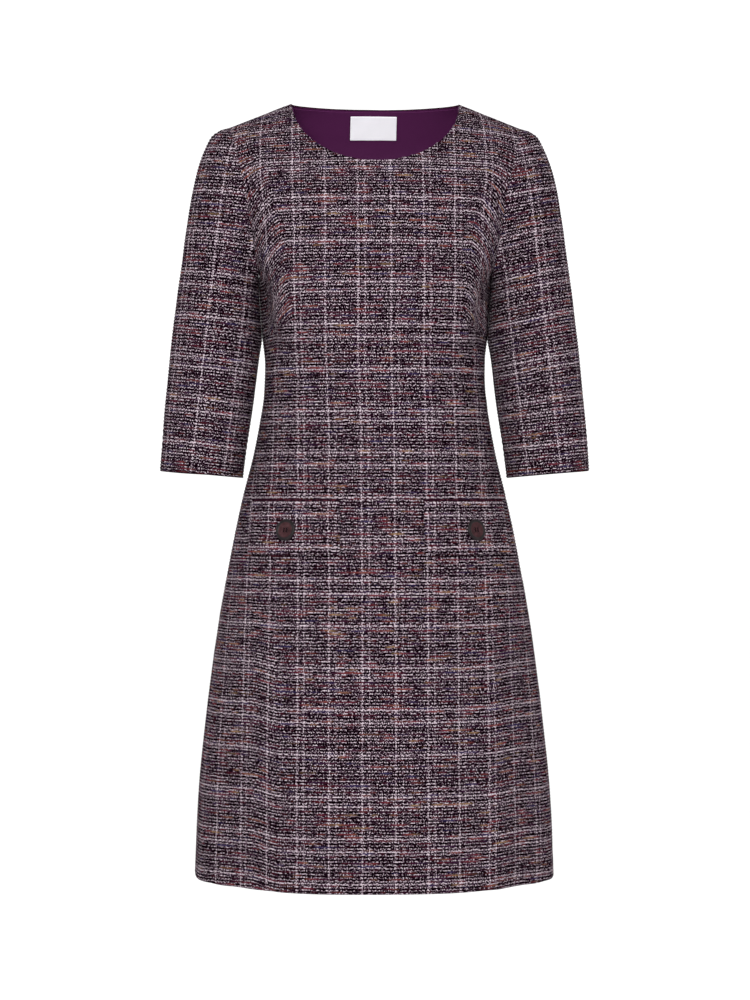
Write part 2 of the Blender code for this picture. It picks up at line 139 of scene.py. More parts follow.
SleeveRow = namedtuple("SleeveRow", "outer_x outer_z inner_x inner_z front back armhole")
SLEEVE = table(
    SleeveRow,
    (0.188, -0.0325, 0.1416, -0.217, 0.057, 0.057, 0.55),
    (0.198, -0.0395, 0.1414, -0.2195, 0.056, 0.056, 0.25),
    (0.207, -0.056, 0.1411, -0.2235, 0.0555, 0.055, 0.08),
    (0.2153, -0.078, 0.1407, -0.229, 0.0555, 0.0545, 0.0),
    (0.2225, -0.108, 0.1405, -0.237, 0.0555, 0.054, 0.0),
    (0.229, -0.147, 0.1398, -0.249, 0.055, 0.053, 0.0),
    (0.2355, -0.195, 0.1389, -0.265, 0.055, 0.0515, 0.0),
    (0.2418, -0.242, 0.1376, -0.285, 0.0545, 0.0495, 0.0),
    (0.2477, -0.289, 0.1415, -0.312, 0.054, 0.047, 0.0),
    (0.2525, -0.337, 0.1462, -0.351, 0.0535, 0.0435, 0.0),
    (0.2575, -0.388, 0.153, -0.398, 0.0525, 0.0395, 0.0),
    (0.2612, -0.4385, 0.16, -0.4478, 0.0515, 0.0355, 0.0),
    (0.2618, -0.4468, 0.161, -0.456, 0.0513, 0.035, 0.0),
)

# ---- the cloth's own pattern

RIB = 0.003805  # one rib of the weave
RIB_HEIGHT = 0.00045
REPEAT_DOWN = 40 * RIB  # of the window check
REPEAT_ACROSS = 0.0786  # two panes
PATTERN_TURN = 0.0045  # of the front's stripes above the waist, to the wearer's left
BAND_START = 96 * RIB  # how far below the neck ends of the shoulders a repeat starts

# Light bands down one repeat of the check, as a share of it, and how light each is.
Band = namedtuple("Band", "place light")
BANDS = table(
    Band,
    (0.0, 0.6),
    (0.075, 0.95),
    (0.15, 0.8),
    (0.25, 0.3),
    (0.4, 0.95),
    (0.5, 0.9),
    (0.625, 0.4),
    (0.75, 1.0),
    (0.85, 0.4),
)
BAND_HALF = 0.032
# Light stripes across two panes.
STRIPES = table(
    Band,
    (0.25, 1.0),
    (0.355, 0.42),
    (0.48, 0.25),
    (0.75, 1.0),
    (0.855, 0.7),
    (0.975, 0.22),
)
STRIPE_HALF = 0.024

# How far the ribs of the front droop towards the armhole and the side, above the bust dart, and how
# far from the middle that starts.
Droop = namedtuple("Droop", "z start amount")
DROOPS = table(
    Droop,
    (-0.03, 0.15, 0.0),
    (-0.047, 0.146, 0.005),
    (-0.081, 0.134, 0.012),
    (-0.105, 0.128, 0.021),
    (-0.129, 0.122, 0.03),
    (-0.172, 0.112, 0.038),
    (-0.215, 0.106, 0.044),
    (-0.29, 0.1, 0.044),
)
DART_POINT = (0.098, -0.264)
DART_SIDE = (0.14, -0.292)

# ---- tables read as smooth curves


def clamp(value, low=0.0, high=1.0):
    return min(max(value, low), high)


def smooth_step(share):
    share = clamp(share)
    return share * share * (3 - 2 * share)


def smooth_curve(knots):
    """Return a curve through (place, value) knots that never overshoots them."""
    knots = sorted(knots)
    steps = [b[0] - a[0] for a, b in zip(knots, knots[1:])]
    slopes = [(b[1] - a[1]) / step for a, b, step in zip(knots, knots[1:], steps)]
    tangents = [slopes[0]]
    for before, after in zip(slopes, slopes[1:]):
        level = before * after <= 0
        tangents.append(0.0 if level else 2 * before * after / (before + after))
    tangents.append(slopes[-1])

    def value(place):
        place = clamp(place, knots[0][0], knots[-1][0])
        index = 0
        while index < len(steps) - 1 and place > knots[index + 1][0]:
            index += 1
        step = steps[index]
        t = (place - knots[index][0]) / step
        start = knots[index][1] * (1 + 2 * t) + tangents[index] * step * t
        end = knots[index + 1][1] * (3 - 2 * t) - tangents[index + 1] * step * (1 - t)
        return start * (1 - t) ** 2 + end * t ** 2

    return value


def tabled(curve, low, high, count=600):
    """A fast straight-line reading of a smooth curve."""
    values = [curve(low + (high - low) * index / count) for index in range(count + 1)]

    def value(place):
        position = (clamp(place, low, high) - low) / (high - low) * count
        index = min(int(position), count - 1)
        return values[index] + (values[index + 1] - values[index]) * (position - index)

    return value


def column(rows, name):
    """One column of a table as a curve over its heights, which run from high to low."""
    curve = smooth_curve([(row.z, getattr(row, name)) for row in rows])
    return tabled(curve, rows[-1].z, rows[0].z)


half_width = column(BODY, "half_width")
seam_y = column(BODY, "seam_y")
armhole_x = column(ARMHOLE[::-1], "x")
DEPTH = {side: column(BODY, side) for side in ("front", "back")}
POWER = {side: column(BODY, side + "_power") for side in ("front", "back")}
FACING = {"front": -1, "back": 1}
droop_start = column(DROOPS, "start")
droop_amount = column(DROOPS, "amount")

# ---- the surface of the body


def shoulder_z(x):
    slope = SHOULDER_TIP[1] / (SHOULDER_TIP[0] - NECK_HALF_WIDTH)
    if x < NECK_HALF_WIDTH:
        return slope * (x ** 2 - NECK_HALF_WIDTH ** 2) / (2 * NECK_HALF_WIDTH)
    return slope * (x - NECK_HALF_WIDTH)


def flute_scale(side, across, z):
    push = 0.0
    for flute in FLUTES[side]:
        fall = max(0.0, (flute.start - z) / (flute.start - HEM_Z))
        bump = math.exp(-(((across - flute.across) / flute.spread) ** 2))
        push += flute.depth * fall ** FLUTE_GROWTH * bump
    return 1 + push / half_width(z)


def body_point(side, across, z):
    """Point on the outer face at +X, across from 0 at the centre line to 1 at the side seam."""
    share = math.sin(across * math.pi / 2)
    x = half_width(z) * share
    below = clamp((shoulder_z(x) - z) / CROWN)
    crown = math.sqrt(1 - (1 - below) ** 2)
    power = POWER[side](z)
    oval = max(1 - share ** power, 0.0) ** (1 / power)
    depth = DEPTH[side](z) * oval * crown
    if side == "front":
        from_bust = ((x - BUST_X) ** 2 + (z - BUST_Z) ** 2) / BUST_SPREAD ** 2
        depth += BUST_RISE * math.exp(-from_bust) * oval
    scale = flute_scale(side, across, z)
    return Vector((x * scale, seam_y(z) + FACING[side] * depth * scale, z))


def across_at(x, z):
    return math.asin(min(x / half_width(z), 1.0)) * 2 / math.pi


def body_normal(side, across, z):
    """Direction out of the cloth at +X."""
    step = 0.002
    low = max(across - step, 0.0)
    high = min(across + step, 1.0)
    along = body_point(side, high, z) - body_point(side, low, z)
    down = body_point(side, across, z - step) - body_point(side, across, z + step)
    return (along.cross(down) * FACING[side]).normalized()


# ---- folds and creases

# A soft trough (negative depth) or ridge along a line on a panel, seen from the front or the back.
Fold = namedtuple("Fold", "x0 z0 x1 z1 depth width")
FOLDS = {
    "front": table(
        Fold,
        (-0.138, -0.222, -0.126, -0.3, -0.008, 0.011),
        (0.1375, -0.218, 0.128, -0.292, -0.0075, 0.011),
        (-0.13, -0.14, -0.113, -0.235, 0.0034, 0.015),
        (0.134, -0.15, 0.116, -0.24, 0.0026, 0.015),
        (-0.112, -0.262, -0.133, -0.279, 0.0022, 0.009),
        (0.112, -0.262, 0.133, -0.28, 0.002, 0.009),
        (-0.098, -0.265, -0.138, -0.29, -0.0014, 0.003),
        (0.098, -0.264, 0.137, -0.29, -0.0014, 0.003),
        (-0.133, -0.345, -0.08, -0.335, -0.0022, 0.011),
        (-0.13, -0.372, -0.09, -0.358, 0.0016, 0.012),
        (0.132, -0.338, 0.07, -0.35, -0.002, 0.012),
        (0.133, -0.366, 0.098, -0.362, 0.0015, 0.011),
        (-0.03, -0.3, -0.045, -0.4, -0.0012, 0.022),
        (0.042, -0.29, 0.036, -0.41, -0.0014, 0.02),
        (-0.148, -0.4812, -0.052, -0.4812, -0.0016, 0.0028),
        (0.056, -0.4812, 0.15, -0.4812, -0.0016, 0.0028),
        (0.148, -0.59, 0.16, -0.93, 0.003, 0.02),
        (0.108, -0.62, 0.118, -0.93, -0.003, 0.018),
        (0.035, -0.66, 0.03, -0.94, 0.0022, 0.024),
        (-0.05, -0.64, -0.06, -0.94, 0.002, 0.026),
        (0.072, -0.58, 0.08, -0.8, -0.0014, 0.018),
    ),
    "back": table(
        Fold,
        (-0.136, -0.22, -0.118, -0.29, -0.005, 0.012),
        (0.137, -0.222, 0.12, -0.285, -0.0046, 0.012),
        (-0.14, -0.12, -0.1, -0.215, 0.0026, 0.018),
        (0.138, -0.125, 0.105, -0.225, 0.0024, 0.017),
        (-0.125, -0.34, -0.05, -0.352, -0.0034, 0.014),
        (0.126, -0.346, 0.045, -0.336, -0.003, 0.013),
        (-0.115, -0.372, -0.04, -0.384, 0.0022, 0.014),
        (0.118, -0.378, 0.06, -0.368, 0.0022, 0.013),
        (-0.03, -0.25, -0.036, -0.36, -0.0018, 0.022),
        (0.034, -0.24, 0.03, -0.35, -0.0016, 0.024),
        (-0.09, -0.6, -0.102, -0.93, -0.003, 0.02),
        (0.118, -0.58, 0.128, -0.93, 0.003, 0.022),
        (0.01, -0.64, 0.014, -0.94, 0.0024, 0.024),
    ),
}


FOLD_OVERRUN = 0.35  # how far a fold runs past each end, as a share of its length
FOLD_FADE = 0.5  # share of its length over which it fades there
FOLD_BOW = 0.35  # how far its line bows, as a share of its width

# The slow unevenness of the cloth: how high, and how fine across and down.
Swell = namedtuple("Swell", "height across down")
SWELLS = [Swell(0.0007, 16, 12), Swell(0.0003, 45, 38)]
SWELL_SEEDS = {"front": (3.0, 8.0), "back": (11.0, 16.0)}

SIDE_CALM = 0.06  # share of a half panel over which its folds die out at the side seam
HEM_CALM = 0.03  # height over which they get lower above the hem
HEM_FOLDS = 0.35  # share of them that is left at the hem


def along_fold(x, z, fold):
    """How strongly a fold shows at a place: 1 on its line, fading at its ends and to both sides."""
    dx = fold.x1 - fold.x0
    dz = fold.z1 - fold.z0
    length = math.hypot(dx, dz)
    share = ((x - fold.x0) * dx + (z - fold.z0) * dz) / length ** 2
    if share < -FOLD_OVERRUN or share > 1 + FOLD_OVERRUN:
        return 0.0
    bow = math.sin(math.pi * clamp(share)) * fold.width * FOLD_BOW
    off = ((x - fold.x0) * dz - (z - fold.z0) * dx) / length - bow
    ends = clamp((share + FOLD_OVERRUN) / FOLD_FADE) * clamp((1 + FOLD_OVERRUN - share) / FOLD_FADE)
    return smooth_step(ends) * math.exp(-((off / fold.width) ** 2))


def relief(side, x, z):
    """How far the cloth stands off the plain form: its folds and a slow unevenness."""
    height = sum(fold.depth * along_fold(x, z, fold) for fold in FOLDS[side])
    for swell, seed in zip(SWELLS, SWELL_SEEDS[side]):
        height += swell.height * noise.noise(Vector((x * swell.across, z * swell.down, seed)))
    return height


def form_point(side, across, z, sign, lift=0.0):
    """Point of the finished surface of a panel, on the side of sign, lifted off it along its normal."""
    across = clamp(across)
    point = body_point(side, across, z)
    normal = body_normal(side, across, z)
    calm = clamp((1 - across) / SIDE_CALM) * clamp((z - HEM_Z + 0.01) / HEM_CALM, HEM_FOLDS)
    height = relief(side, point.x * sign, z) * calm + lift
    point = point + normal * height
    return Vector((point.x * sign, point.y, point.z))


# ---- the edges of a panel


def neck_edge(side, angle):
    x = NECK_HALF_WIDTH * math.sin(angle)
    if side == "front":
        z = -FRONT_NECK_DROP * math.cos(angle)
    else:
        z = -BACK_NECK_DROP * math.cos(angle) ** 2
    return across_at(x, z), z


def shoulder_edge(share):
    x = NECK_HALF_WIDTH + share * (SHOULDER_TIP[0] - NECK_HALF_WIDTH)
    z = shoulder_z(x)
    return across_at(x, z), z


def armhole_edge(angle):
    middle = (SHOULDER_TIP[1] + UNDERARM_Z) / 2
    reach = (SHOULDER_TIP[1] - UNDERARM_Z) / 2
    z = middle + reach * math.cos(angle)
    return across_at(armhole_x(z), z), z


NECK_COLUMNS = 26
SHOULDER_COLUMNS = 14
ARMHOLE_ROWS = 100
LEVEL_ROWS = 339  # half a rib apart, below the armhole
HEM_ROWS = 60  # from the last level row to the curved hem


def panel_places(side):
    """Rows of (across, z) over half a panel: the top rows follow the neck, shoulder and armhole."""
    top = [neck_edge(side, math.pi / 2 * step / NECK_COLUMNS) for step in range(NECK_COLUMNS)]
    top += [shoulder_edge(step / SHOULDER_COLUMNS) for step in range(SHOULDER_COLUMNS + 1)]
    last = len(top) - 1
    shares = [index / last for index in range(last + 1)]
    rows = []
    for step in range(ARMHOLE_ROWS + 1):
        angle = math.pi * step / ARMHOLE_ROWS
        fall = (1 - math.cos(angle)) / 2
        centre_z = top[0][1] + (UNDERARM_Z - top[0][1]) * fall
        edge_across, edge_z = armhole_edge(angle)
        row = []
        for share, (top_across, top_z) in zip(shares, top):
            bend_across = top_across - share * top[last][0]
            bend_z = top_z - top[0][1] - share * (top[last][1] - top[0][1])
            across = share * edge_across + (1 - fall) * bend_across
            z = centre_z + share * (edge_z - centre_z) + (1 - fall) * bend_z
            row.append((across, z))
        rows.append(row)
    for step in range(1, LEVEL_ROWS + 1):
        rows.append([(share, UNDERARM_Z - step * RIB / 2) for share in shares])
    level = rows[-1][0][1]
    hem = [HEM_Z - HEM_DIP[side] * (1 - share ** 2) for share in shares]
    for step in range(1, HEM_ROWS + 1):
        rows.append([(share, level + (z - level) * step / HEM_ROWS) for share, z in zip(shares, hem)])
    return rows


# ---- places in the flat cloth

ARC_STEPS = 48
CROWN_STEPS = 8
DROOP_POWER = 1.25
arcs = {}  # lengths along the level lines met so far


def cloth_across(side, across, z):
    """Length along the cloth from the centre line, level."""
    key = (side, round(z, 3))
    if key not in arcs:
        points = [body_point(side, index / ARC_STEPS, key[1]) for index in range(ARC_STEPS + 1)]
        total = [0.0]
        for a, b in zip(points, points[1:]):
            total.append(total[-1] + math.hypot(b.x - a.x, b.y - a.y))
        arcs[key] = total
    total = arcs[key]
    position = clamp(across) * ARC_STEPS
    index = min(int(position), ARC_STEPS - 1)
    return total[index] + (total[index + 1] - total[index]) * (position - index)


def cloth_down(side, across, z):
    """Length along the cloth from the level of the neck ends, down; over the shoulder it bends back."""
    if z <= -CROWN:
        return -z
    heights = [z + (-CROWN - z) * index / CROWN_STEPS for index in range(CROWN_STEPS + 1)]
    y = [body_point(side, across, height).y for height in heights]
    rise = (z + CROWN) / CROWN_STEPS
    return CROWN - sum(math.hypot(b - a, rise) for a, b in zip(y, y[1:]))


def dart_line(x):
    """Height of the bust dart at a distance from the middle."""
    share = (x - DART_POINT[0]) / (DART_SIDE[0] - DART_POINT[0])
    return DART_POINT[1] + (DART_SIDE[1] - DART_POINT[1]) * share


# The ribs of the skirt climb towards its sides: from where to where, and how far.
Sag = namedtuple("Sag", "start end amount")
SAGS = {1: Sag(0.125, 0.172, 0.0035), -1: Sag(0.116, 0.152, 0.007)}
SAG_TOP = -0.585
SAG_FULL = -0.7


def sag(sign, x, z):
    fold = SAGS[sign]
    climb = smooth_step((x - fold.start) / (fold.end - fold.start))
    return fold.amount * climb * smooth_step((z - SAG_TOP) / (SAG_FULL - SAG_TOP))


def rib_height(down):
    """How far a rib stands off the middle of the cloth."""
    return RIB_HEIGHT * math.cos(2 * math.pi * down / RIB)


def above_dart(x, z):
    """Whether a place x from the middle lies above the bust dart."""
    return z > (dart_line(x) if x > DART_POINT[0] else DART_POINT[1])


def droop(x, z, above):
    """How far the ribs of the front hang below level; above says on which side of the dart."""
    if not above:
        return 0.0
    edge = armhole_x(z) if z > UNDERARM_Z else half_width(z)
    start = droop_start(z)
    share = clamp((x - start) / max(edge - start, 0.01))
    return droop_amount(z) * share ** DROOP_POWER


# ---- materials


class Nodes:
    """Builds the nodes of one material. A value may be a number or another node's output."""

    def __init__(self, name):
        self.material = bpy.data.materials.new(name)
        self.material.use_nodes = True
        self.tree = self.material.node_tree
        self.shader = self.tree.nodes["Principled BSDF"]

    def add(self, kind, *values, **settings):
        """A new node with its settings, and values for its first inputs."""
        node = self.tree.nodes.new("ShaderNode" + kind)
        for key, value in settings.items():
            setattr(node, key, value)
        for socket, value in zip(node.inputs, values):
            self.feed(socket, value)
        return node

    def feed(self, socket, value):
        if isinstance(value, bpy.types.NodeSocket):
            self.tree.links.new(value, socket)
        else:
            socket.default_value = value

    def feed_named(self, node, **values):
        for key, value in values.items():
            self.feed(node.inputs[key.replace("_", " ")], value)

    def place(self):
        """Position on the piece, in metres."""
        return self.add("TexCoord").outputs["Object"]

    def axes(self, vector):
        return self.add("SeparateXYZ", vector).outputs

    def math(self, operation, *values, clamp=False):
        return self.add("Math", *values, operation=operation, use_clamp=clamp).outputs[0]

    def clamped(self, value):
        return self.math("ADD", value, 0.0, clamp=True)

    def wave(self, value, length):
        return self.math("SINE", self.math("MULTIPLY", value, 2 * math.pi / length))

    def sum(self, *terms):
        """Sum of (value, weight) pairs and numbers."""
        total = 0.0
        for term in terms:
            if isinstance(term, tuple):
                total = self.math("MULTIPLY_ADD", term[0], term[1], total)
            else:
                total = self.math("ADD", total, term)
        return total

    def noise(self, vector, detail=0.0, roughness=0.5, scale=1.0):
        node = self.add("TexNoise", noise_dimensions="3D")
        self.feed_named(node, Vector=vector, Scale=scale, Detail=detail, Roughness=roughness)
        return node.outputs[0]

    def flat_noise(self, x, y, seed, detail=1.0):
        """Noise over two (value, scale) pairs."""
        node = self.add("CombineXYZ", self.math("MULTIPLY", *x), self.math("MULTIPLY", *y), seed)
        return self.noise(node.outputs[0], detail)

    def waver(self, x, y, seed):
        """The same noise, spread to both sides of 0."""
        return self.math("SUBTRACT", self.flat_noise(x, y, seed), 0.5)

    def ramp(self, factor, stops):
        node = self.add("ValToRGB", factor)
        elements = node.color_ramp.elements
        for index in (0, -1):
            elements[index].position = stops[index][0]
            elements[index].color = (*stops[index][1], 1.0)
        for place, colour in stops[1:-1]:
            elements.new(place).color = (*colour, 1.0)
        return node.outputs[0]

    def mix(self, factor, a, b):
        node = self.add("Mix", factor, data_type="RGBA")
        for name, value in (("A", a), ("B", b)):
            socket = [s for s in node.inputs if s.name == name and s.type == "RGBA"][0]
            self.feed(socket, (*value, 1.0) if isinstance(value, tuple) else value)
        return [s for s in node.outputs if s.type == "RGBA"][0]

    def bump(self, height, distance, strength):
        node = self.add("Bump")
        self.feed_named(node, Strength=strength, Distance=distance, Height=height)
        self.feed_named(self.shader, Normal=node.outputs[0])

    def finish(self, **values):
        self.feed_named(self.shader, **values)
        return self.material


def peaks(places, half):
    """Ramp stops that rise to each place's lightness and fall again within half, round a repeat."""
    stops = {0.0: 0.0, 1.0: 0.0}
    for place, light in places:
        for at, value in ((place - half, 0.0), (place, light), (place + half, 0.0)):
            stops[clamp(at)] = max(value, stops.get(clamp(at), 0.0))
    return [(at, (value, value, value)) for at, value in sorted(stops.items())]


# From the dark grooves of the plain cloth to its lightest loops.
PLAIN_COLOURS = [
    (0.0, (0.0015, 0.0003, 0.001)),
    (0.3, (0.003, 0.0005, 0.0016)),
    (0.46, (0.014, 0.003, 0.0098)),
    (0.6, (0.07, 0.036, 0.057)),
    (0.78, (0.216, 0.162, 0.196)),
    (1.0, (0.4, 0.34, 0.372)),
]
# Navy, plum, wine, red, rust and ochre lengths of weft.
DYED_COLOURS = [
    (0.28, (0.026, 0.02, 0.06)),
    (0.38, (0.024, 0.008, 0.024)),
    (0.48, (0.04, 0.007, 0.015)),
    (0.56, (0.1, 0.015, 0.024)),
    (0.66, (0.15, 0.04, 0.033)),
    (0.76, (0.2, 0.118, 0.06)),
]
HORN_COLOURS = [(0.3, (0.02, 0.008, 0.009)), (0.52, (0.034, 0.013, 0.015)), (0.72, (0.05, 0.024, 0.026))]
RIM_COLOURS = [(0.3, (0.004, 0.003, 0.003)), (0.52, (0.009, 0.006, 0.007)), (0.72, (0.016, 0.011, 0.012))]
LINING_THREADS = 0.0006
LABEL_THREADS = 0.0005


def tweed_material():
    cloth = Nodes("boucle_tweed_look")
    u, v, _ = cloth.axes(cloth.add("UVMap", uv_map="cloth").outputs[0])

    # The threads sway a little, and every boucle loop pushes its neighbours about.
    sway_across = cloth.waver((u, 30.0), (v, 90.0), 0.0)
    sway_down = cloth.waver((u, 26.0), (v, 26.0), 7.0)
    kink = cloth.waver((u, 420.0), (v, 420.0), 3.0)
    across = cloth.sum(u, (sway_across, 0.0016), (kink, 0.0022))
    down = cloth.sum(v, (sway_down, 0.0012), (kink, 0.0013))

    # A light yarn on top of each rib and a dark groove below it.
    ribs = cloth.math("DIVIDE", down, RIB)
    rib_wave = cloth.math("COSINE", cloth.math("MULTIPLY", ribs, 2 * math.pi))
    yarn = cloth.math("ROUND", ribs)

    # Loops and thicker lengths of the light boucle yarn.
    loops = cloth.waver((u, 680.0), (v, 590.0), 1.0)
    slubs = cloth.waver((u, 75.0), (yarn, 5.3), 2.0)

    # The window check.
    band_place = cloth.math("DIVIDE", cloth.math("SUBTRACT", down, BAND_START), REPEAT_DOWN)
    bands = cloth.ramp(cloth.math("FRACT", band_place), peaks(BANDS, BAND_HALF))
    stripe_place = cloth.math("DIVIDE", across, REPEAT_ACROSS)
    stripes = cloth.ramp(cloth.math("FRACT", stripe_place), peaks(STRIPES, STRIPE_HALF))

    # The loops stand up on the ribs and show less in the grooves.
    on_rib = cloth.sum(0.84, (rib_wave, 0.16))
    loops_seen = cloth.math("MULTIPLY", loops, on_rib)
    light = cloth.clamped(
        cloth.sum(0.18, (rib_wave, 0.28), (loops_seen, 5.0), (slubs, 0.45), (bands, 0.37), (stripes, 0.52))
    )
    plain = cloth.ramp(light, PLAIN_COLOURS)

    # The weft in the grooves is dyed in lengths of different colours.
    weft = cloth.math("FLOOR", ribs)
    dyed = cloth.ramp(cloth.flat_noise((u, 30.0), (weft, 7.31), 5.0, 0.0), DYED_COLOURS)
    dye_amount = cloth.flat_noise((u, 40.0), (weft, 3.17), 9.0)
    show = cloth.math("MULTIPLY", cloth.math("SUBTRACT", dye_amount, 0.49, clamp=True), 6.0, clamp=True)
    gap = cloth.clamped(cloth.sum(0.24, (rib_wave, -0.62), (loops, -2.4)))
    colour = cloth.mix(cloth.math("MULTIPLY", show, gap), plain, dyed)

    cloth.bump(cloth.sum((light, 1.0), (rib_wave, 0.35)), 0.0009, 0.55)
    return cloth.finish(Base_Color=colour, Roughness=0.92, Specular_IOR_Level=0.0)


def lining_material():
    cloth = Nodes("plum_lining_look")
    place = cloth.place()
    x, _, z = cloth.axes(place)
    weave = cloth.math("MULTIPLY", cloth.wave(x, LINING_THREADS), cloth.wave(z, LINING_THREADS))
    cloudy = cloth.noise(place, 3.0, 0.5, 14.0)
    colour = cloth.mix(cloudy, (0.062, 0.0092, 0.051), (0.072, 0.0116, 0.06))
    cloth.bump(cloth.sum((weave, 0.2), (cloudy, 2.0)), 0.0005, 0.4)
    return cloth.finish(Base_Color=colour, Roughness=0.55, Specular_IOR_Level=0.12)


def label_material():
    cloth = Nodes("satin_label_look")
    place = cloth.place()
    weave = cloth.wave(cloth.axes(place)[2], LABEL_THREADS)
    cloudy = cloth.noise(place, 2.0, 0.5, 60.0)
    colour = cloth.mix(cloudy, (0.93, 0.91, 0.96), (0.97, 0.95, 1.0))
    cloth.bump(cloth.sum((weave, 0.25), (cloudy, 1.0)), 0.0003, 0.4)
    return cloth.finish(Base_Color=colour, Roughness=0.45)


def button_material(name, colours, gloss):
    """Horn-like plastic, clouded between its colours."""
    plastic = Nodes(name)
    marble = plastic.noise(plastic.place(), 3.0, 0.6, 120.0)
    colour = plastic.ramp(marble, colours)
    rough = plastic.math("MULTIPLY_ADD", marble, 0.2, 0.35)
    plastic.bump(marble, 0.0002, 0.3)
    return plastic.finish(Base_Color=colour, Roughness=rough, Specular_IOR_Level=gloss)


def shade_edge_material():
    """Painted shade: dark yarn colour on folded edges where shade falls, along the flap edges, the back neck
    edge and under hems and cuffs.
    """
    cloth = Nodes("painted_shade_edge_look")
    yarn = cloth.noise(cloth.place(), 2.0, 0.6, 320.0)
    stops = [(0.35, (0.006, 0.002, 0.004)), (0.56, (0.016, 0.005, 0.01)), (0.72, (0.08, 0.02, 0.024))]
    cloth.bump(yarn, 0.0004, 0.6)
    return cloth.finish(Base_Color=cloth.ramp(yarn, stops), Roughness=0.92, Specular_IOR_Level=0.0)


def thread_material():
    thread = Nodes("dark_thread_look")
    wave = thread.add("TexWave", thread.place(), 900.0, wave_type="BANDS", bands_direction="DIAGONAL")
    ply = wave.outputs["Fac"]
    colour = thread.mix(ply, (0.004, 0.002, 0.003), (0.014, 0.009, 0.011))
    thread.bump(ply, 0.0002, 0.6)
    return thread.finish(Base_Color=colour, Roughness=0.9, Specular_IOR_Level=0.0)


# ---- building cloth


def new_object(name, mesh, *materials):
    thing = bpy.data.objects.new(name, mesh)
    bpy.context.scene.collection.objects.link(thing)
    for material in materials:
        mesh.materials.append(material)
    return thing


def form_mesh(name, form):
    mesh = bpy.data.meshes.new(name)
    form.to_mesh(mesh)
    form.free()
    return mesh


def grid_mesh(name, rows, closed=False):
    """Open surface through rows of points; closed joins the last column to the first."""
    width = len(rows[0])
    vertices = [point for row in rows for point in row]
    faces = []
    for r in range(len(rows) - 1):
        for c in range(width if closed else width - 1):
            d = (c + 1) % width
            faces.append((r * width + c, r * width + d, (r + 1) * width + d, (r + 1) * width + c))
    mesh = bpy.data.meshes.new(name)
    mesh.from_pydata(vertices, [], faces)
    return mesh


def rows_of(rows, columns, point_of):
    """Rows of what point_of gives for shares across and down a piece."""
    shares = [index / columns for index in range(columns + 1)]
    return [[point_of(share, row / rows) for share in shares] for row in range(rows + 1)]


def face_along(mesh, direction):
    """Turn an open surface's front to a direction, as its middle face sees it."""
    middle = mesh.polygons[len(mesh.polygons) // 2]
    if middle.normal.dot(direction) < 0:
        mesh.flip_normals()


def lay_out(mesh, place_of):
    """Fill the cloth layer: place_of(vertex, face) gives across and down in the flat cloth."""
    layer = mesh.uv_layers.new(name="cloth")
    for face in mesh.polygons:
        for loop in face.loop_indices:
            layer.data[loop].uv = place_of(mesh.loops[loop].vertex_index, face)


def modify(thing, kind, **settings):
    modifier = thing.modifiers.new(kind, kind)
    for key, value in settings.items():
        setattr(modifier, key, value)


def round_edges(thing, width, angle):
    modify(thing, "BEVEL", width=width, segments=2, limit_method="ANGLE", angle_limit=math.radians(angle))


def apply_modifiers(thing, smooth_below):
    """Turn the modifiers into the thing's own mesh, smooth where it bends less than an angle."""
    graph = bpy.context.evaluated_depsgraph_get()
    mesh = bpy.data.meshes.new_from_object(thing.evaluated_get(graph))
    thing.modifiers.clear()
    thing.data = mesh
    mesh.shade_smooth()
    mesh.set_sharp_from_angle(angle=math.radians(smooth_below))


def make_wall(thing, thickness, side=-1, edge=EDGE_ROUND, lined=True):
    """Give an open surface its wall and round its edges; a lined inside takes the second material."""
    modify(thing, "SOLIDIFY", thickness=thickness, offset=side, use_even_offset=True,
           use_quality_normals=True, material_offset=1 if lined else 0)
    round_edges(thing, edge, 72)
    apply_modifiers(thing, 60)


def seat(piece, node):
    """Hang a piece on the root, hide the CAD node it shows, and return the piece."""
    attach(piece, "root")
    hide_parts(node)
    return piece


def both_halves(row):
    """The places of half a row, mirrored: sign, share of the half, across and z, in order."""
    half = len(row) - 1
    for index in range(-half, half + 1):
        across, z = row[abs(index)]
        yield (1 if index >= 0 else -1), abs(index) / half, across, z


# ---- front and back

OUTSIDE, PAINTED_SHADE = 0, 2  # a panel's or sleeve's materials; 1 is its inside, 2 the painted shade of dark edge yarn
FACES_DOWN = -0.7  # the Z of a normal, of faces under a hem
HEM_DEPTH = 0.003  # how far above the hem line they reach
HEM_ALLOWANCE = 0.032  # cloth turned up inside the hem
CUFF_ALLOWANCE = 0.025
RIB_FADE = 0.04  # height over which the ribs of the back fade above the end of the lining
TURN_FROM = -0.42  # between these heights the stripes of the front turn
TURN_TO = -0.28
TOP_EASE = 0.0002  # how far the cloth may stand over its top edges
CORNER_DROP = 0.004  # of the front's neck corners, which are flattened
CORNER_EASE = 0.0006
CORNER_DEPTH = 0.003
NECK_END_EASE = 0.002  # how far past the neck the dark edge of the back runs


def top_edge(side, x):
    """Height of the neck end, the shoulder or the back neck edge at a distance from the middle."""
    if x >= NECK_HALF_WIDTH:
        return shoulder_z(x)
    return 0.0 if side == "front" else -BACK_NECK_DROP * (1 - (x / NECK_HALF_WIDTH) ** 2)


def close_seams(panel, side):
    """Keep a panel on its own side of the seams, with no corner that stands out at the neck ends."""
    for vertex in panel.data.vertices:
        line = seam_y(vertex.co.z)
        from_seam = max(FACING[side] * (vertex.co.y - line), 0.0)
        vertex.co.y = line + FACING[side] * from_seam
        near = abs(vertex.co.x)
        vertex.co.z = min(vertex.co.z, top_edge(side, near) + TOP_EASE)
        if side == "front" and vertex.co.z > -CORNER_DROP and near < NECK_HALF_WIDTH - CORNER_EASE:
            vertex.co.x = math.copysign(NECK_HALF_WIDTH - CORNER_EASE, vertex.co.x)
            vertex.co.y = line - CORNER_DEPTH
            vertex.co.z = min(vertex.co.z, -CLOTH)


